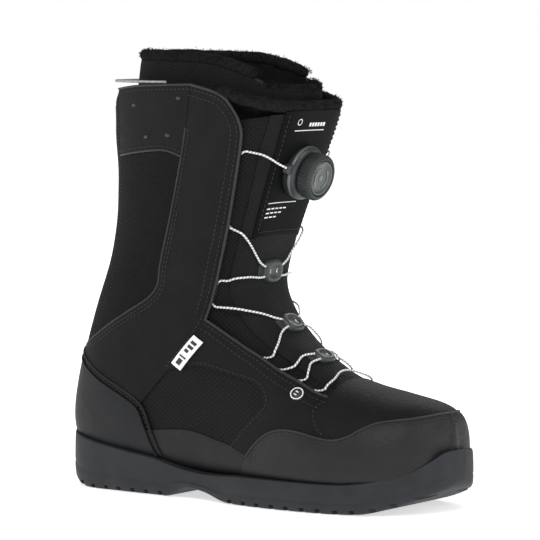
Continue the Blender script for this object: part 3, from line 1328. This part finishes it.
def badge(looks):
    row, turn = side_place(*BADGE)
    frame = frame_at(upper_point(row, turn), outward(row, turn))
    face = [(0.0, 0.0006), (0.0050, 0.0006), (0.0052, 0.0014), (0.0048, 0.0020), (0.0044, 0.0021),
            (0.0, 0.0021)]
    placed(turned("badge_button", face, frame, looks["badge"], 48), "shell", "badge_print", "badge")
    made = [turned_mesh([(0.0040, 0.0020), (0.0047, 0.0020), (0.0047, 0.00225), (0.0040, 0.00225)],
                        frame, 48)]
    for x, y in ((-0.0010, -0.0012), (-0.0010, 0.0012)):
        bar = [(-0.0008, -0.0004), (0.0016, -0.0004), (0.0016, 0.0004), (-0.0008, 0.0004)]
        made.append(rings_mesh(np.array([
            [frame @ Vector((x + u, y + v, h)) for u, v in bar] for h in (0.0020, 0.00225)
        ])))
    placed(joined("badge_marks", made, looks["ink"], 30), "shell", "badge_print")


def label(looks):
    """The small woven label sewn into the seam, with plain bars in place of words."""
    corners = [Vector(p) for p in LABEL]

    def at(u, v, lift):
        """The point at share u down the label and share v across it."""
        top = corners[0].lerp(corners[1], v)
        foot = corners[3].lerp(corners[2], v)
        return on_side(tuple(top.lerp(foot, u)), -lift)

    def strip(u0, u1, steps, section):
        """Rings down the label from u0 to u1, through sections of v and height above its curl."""
        rings = []
        for k in range(steps + 1):
            u = u0 + (u1 - u0) * k / steps
            curl = 0.0014 + 0.0008 * math.sin(3.0 * u)
            rings.append([at(u, v, curl + d) for v, d in section])
        return np.array(rings)

    tape = strip(0, 1, 12, ((0, 0), (0.5, 0.0003), (1, 0), (1, 0.0007), (0.5, 0.0010), (0, 0.0007)))
    placed(loft("side_label_tape", tape, looks["label"], 50), "shell", "label_weave", "side_label")
    made = []
    for u0, u1, v0, v1 in ((0.12, 0.20, 0.25, 0.75), (0.26, 0.34, 0.25, 0.75), (0.40, 0.48, 0.25, 0.60),
                           (0.62, 0.66, 0.20, 0.80), (0.72, 0.90, 0.30, 0.70)):
        bar = ((v0, 0.0006), (v1, 0.0006), (v1, 0.00125), (v0, 0.00125))
        made.append(rings_mesh(strip(u0, u1, 3, bar)))
    placed(joined("side_label_bars", made, looks["dark_ink"], 40), "shell", "label_weave")


def backstay(looks):
    """The raised strip that covers the seam down the back of the shaft."""
    rows = np.linspace(12.55, 15.95, 60)
    shares = np.linspace(-1, 1, 25)
    row_grid, share_grid = np.meshgrid(rows, shares, indexing="ij")
    _, _, _, _, half, middle, _, _, n = np.moveaxis(smooth(SECTIONS, row_grid), -1, 0)
    v = np.abs(0.0160 * share_grid) / half
    turn = np.pi - np.arctan2(v, (1 - v ** n) ** (1 / n)) * -np.sign(share_grid)
    outer = upper_points(row_grid, turn, -(0.0017 - 0.0007 * share_grid ** 8))
    inner = upper_points(row_grid, turn, np.full(turn.shape, 0.0003))
    placed(slab("backstay_strip", outer, inner, looks["rand"]), "shell", "backstay_synthetic", "backstay")


def pull_loop(looks):
    line = [(-0.3, PULL_LOOP_Z), (0.3, PULL_LOOP_Z)]
    path = smooth_path([top_point(math.radians(a), line, 0.0010) for a in range(100, 261, 8)], 4)
    piece = twisted("pull_loop_cord", path, 0.0010, 0.006, looks["cord"], 12, 0.0008)
    placed(piece, "pull_loop", "loop_cord", "pull_loop")


def carried_over(nodes, looks):
    """CAD nodes that keep their own shape, because they are hidden or plain, get their materials."""
    kept = {
        "midsole": "foam", "lasting_board": "board", "footbed": "footbed", "dial_carrier": "dial",
        "spool": "dial", "dial_screw": "steel",
    }
    for name, node in nodes.items():
        look = looks["sleeve"] if name.startswith("lace_loop") else looks.get(kept.get(name))
        if look:
            node.data.materials.clear()
            node.data.materials.append(look)


# ---------------------------------------------------------------- stage
LIT_POINT = (0.0, 0.0, 0.15)
LIGHTS = [  # name, place, width of the disc, and power in watts
    ("key", (0.9, -1.9, 2.0), 1.6, 36), ("fill", (-2.2, -1.2, 1.2), 1.8, 20),
    ("side", (2.4, 0.3, 1.3), 1.4, 20), ("back", (-0.6, 2.2, 1.8), 1.8, 22),
]
AMBIENT = 0.26  # strength of the white surroundings, for all but the camera's own rays


def area_light(name, place, size, power):
    light = bpy.data.lights.new(name, "AREA")
    light.shape = "DISK"
    light.size = size
    light.energy = power
    obj = bpy.data.objects.new(name, light)
    obj.location = place
    obj.rotation_mode = "QUATERNION"
    obj.rotation_quaternion = (Vector(LIT_POINT) - Vector(place)).to_track_quat("-Z", "Y")
    bpy.context.scene.collection.objects.link(obj)


def floor_look():
    """A white floor that glows more with distance, so that it melts into the white background."""
    made = material("floor", (0.90, 0.90, 0.90), 0.9, spread=0.003, specular=0.0)
    tree = made.node_tree
    length = add_node(tree, "VectorMath", {0: object_place(tree)}, operation="LENGTH")
    glow = add_node(tree, "MapRange", {"From Min": 0.25, "From Max": 1.2, "To Min": 0.62, "To Max": 1.0,
                                       "Value": length.outputs["Value"]})
    shader = tree.nodes["Principled BSDF"]
    shader.inputs["Emission Color"].default_value = (1, 1, 1, 1)
    tree.links.new(glow.outputs["Result"], shader.inputs["Emission Strength"])
    return made


def stage():
    corners = [(x, y, -0.0002) for x, y in ((-6, -6), (6, -6), (6, 6), (-6, 6))]
    floor = new_object("floor", corners, [(0, 1, 2, 3)], floor_look())
    for light in LIGHTS:
        area_light(*light)
    world = bpy.data.worlds.new("studio")
    world.use_nodes = True
    tree = world.node_tree
    background = tree.nodes["Background"]
    background.inputs["Color"].default_value = (1, 1, 1, 1)
    seen = add_node(tree, "LightPath", {})
    strength = add_node(tree, "MapRange", {"To Min": AMBIENT, "Value": seen.outputs["Is Camera Ray"]})
    tree.links.new(strength.outputs["Result"], background.inputs["Strength"])
    bpy.context.scene.world = world
    bpy.context.scene.view_settings.view_transform = "Standard"


def camera():
    azimuth, elevation, distance = math.radians(35), math.radians(8), 2.4
    back = Vector((math.sin(azimuth) * math.cos(elevation), -math.cos(azimuth) * math.cos(elevation),
                   math.sin(elevation)))
    right = Vector((math.cos(azimuth), math.sin(azimuth), 0))
    up = right.cross(-back)
    target = right * 0.0035 + up * 0.160
    data = bpy.data.cameras.new("camera")
    data.lens = 225.6
    data.sensor_width = 36
    obj = bpy.data.objects.new("camera", data)
    obj.location = back * distance
    obj.rotation_mode = "QUATERNION"
    obj.rotation_quaternion = (target - obj.location).to_track_quat("-Z", "Y")
    bpy.context.scene.collection.objects.link(obj)
    bpy.context.scene.camera = obj


def main():
    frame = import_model()
    looks = make_materials()
    camera()
    stage()
    for build in (panels, seams, sole, liner, fleece, tongue, face_panel, face_marks, gussets, lace,
                  guides, dial, rivets, badge, label, backstay, pull_loop):
        build(looks)
    carried_over(frame["nodes"], looks)


main()
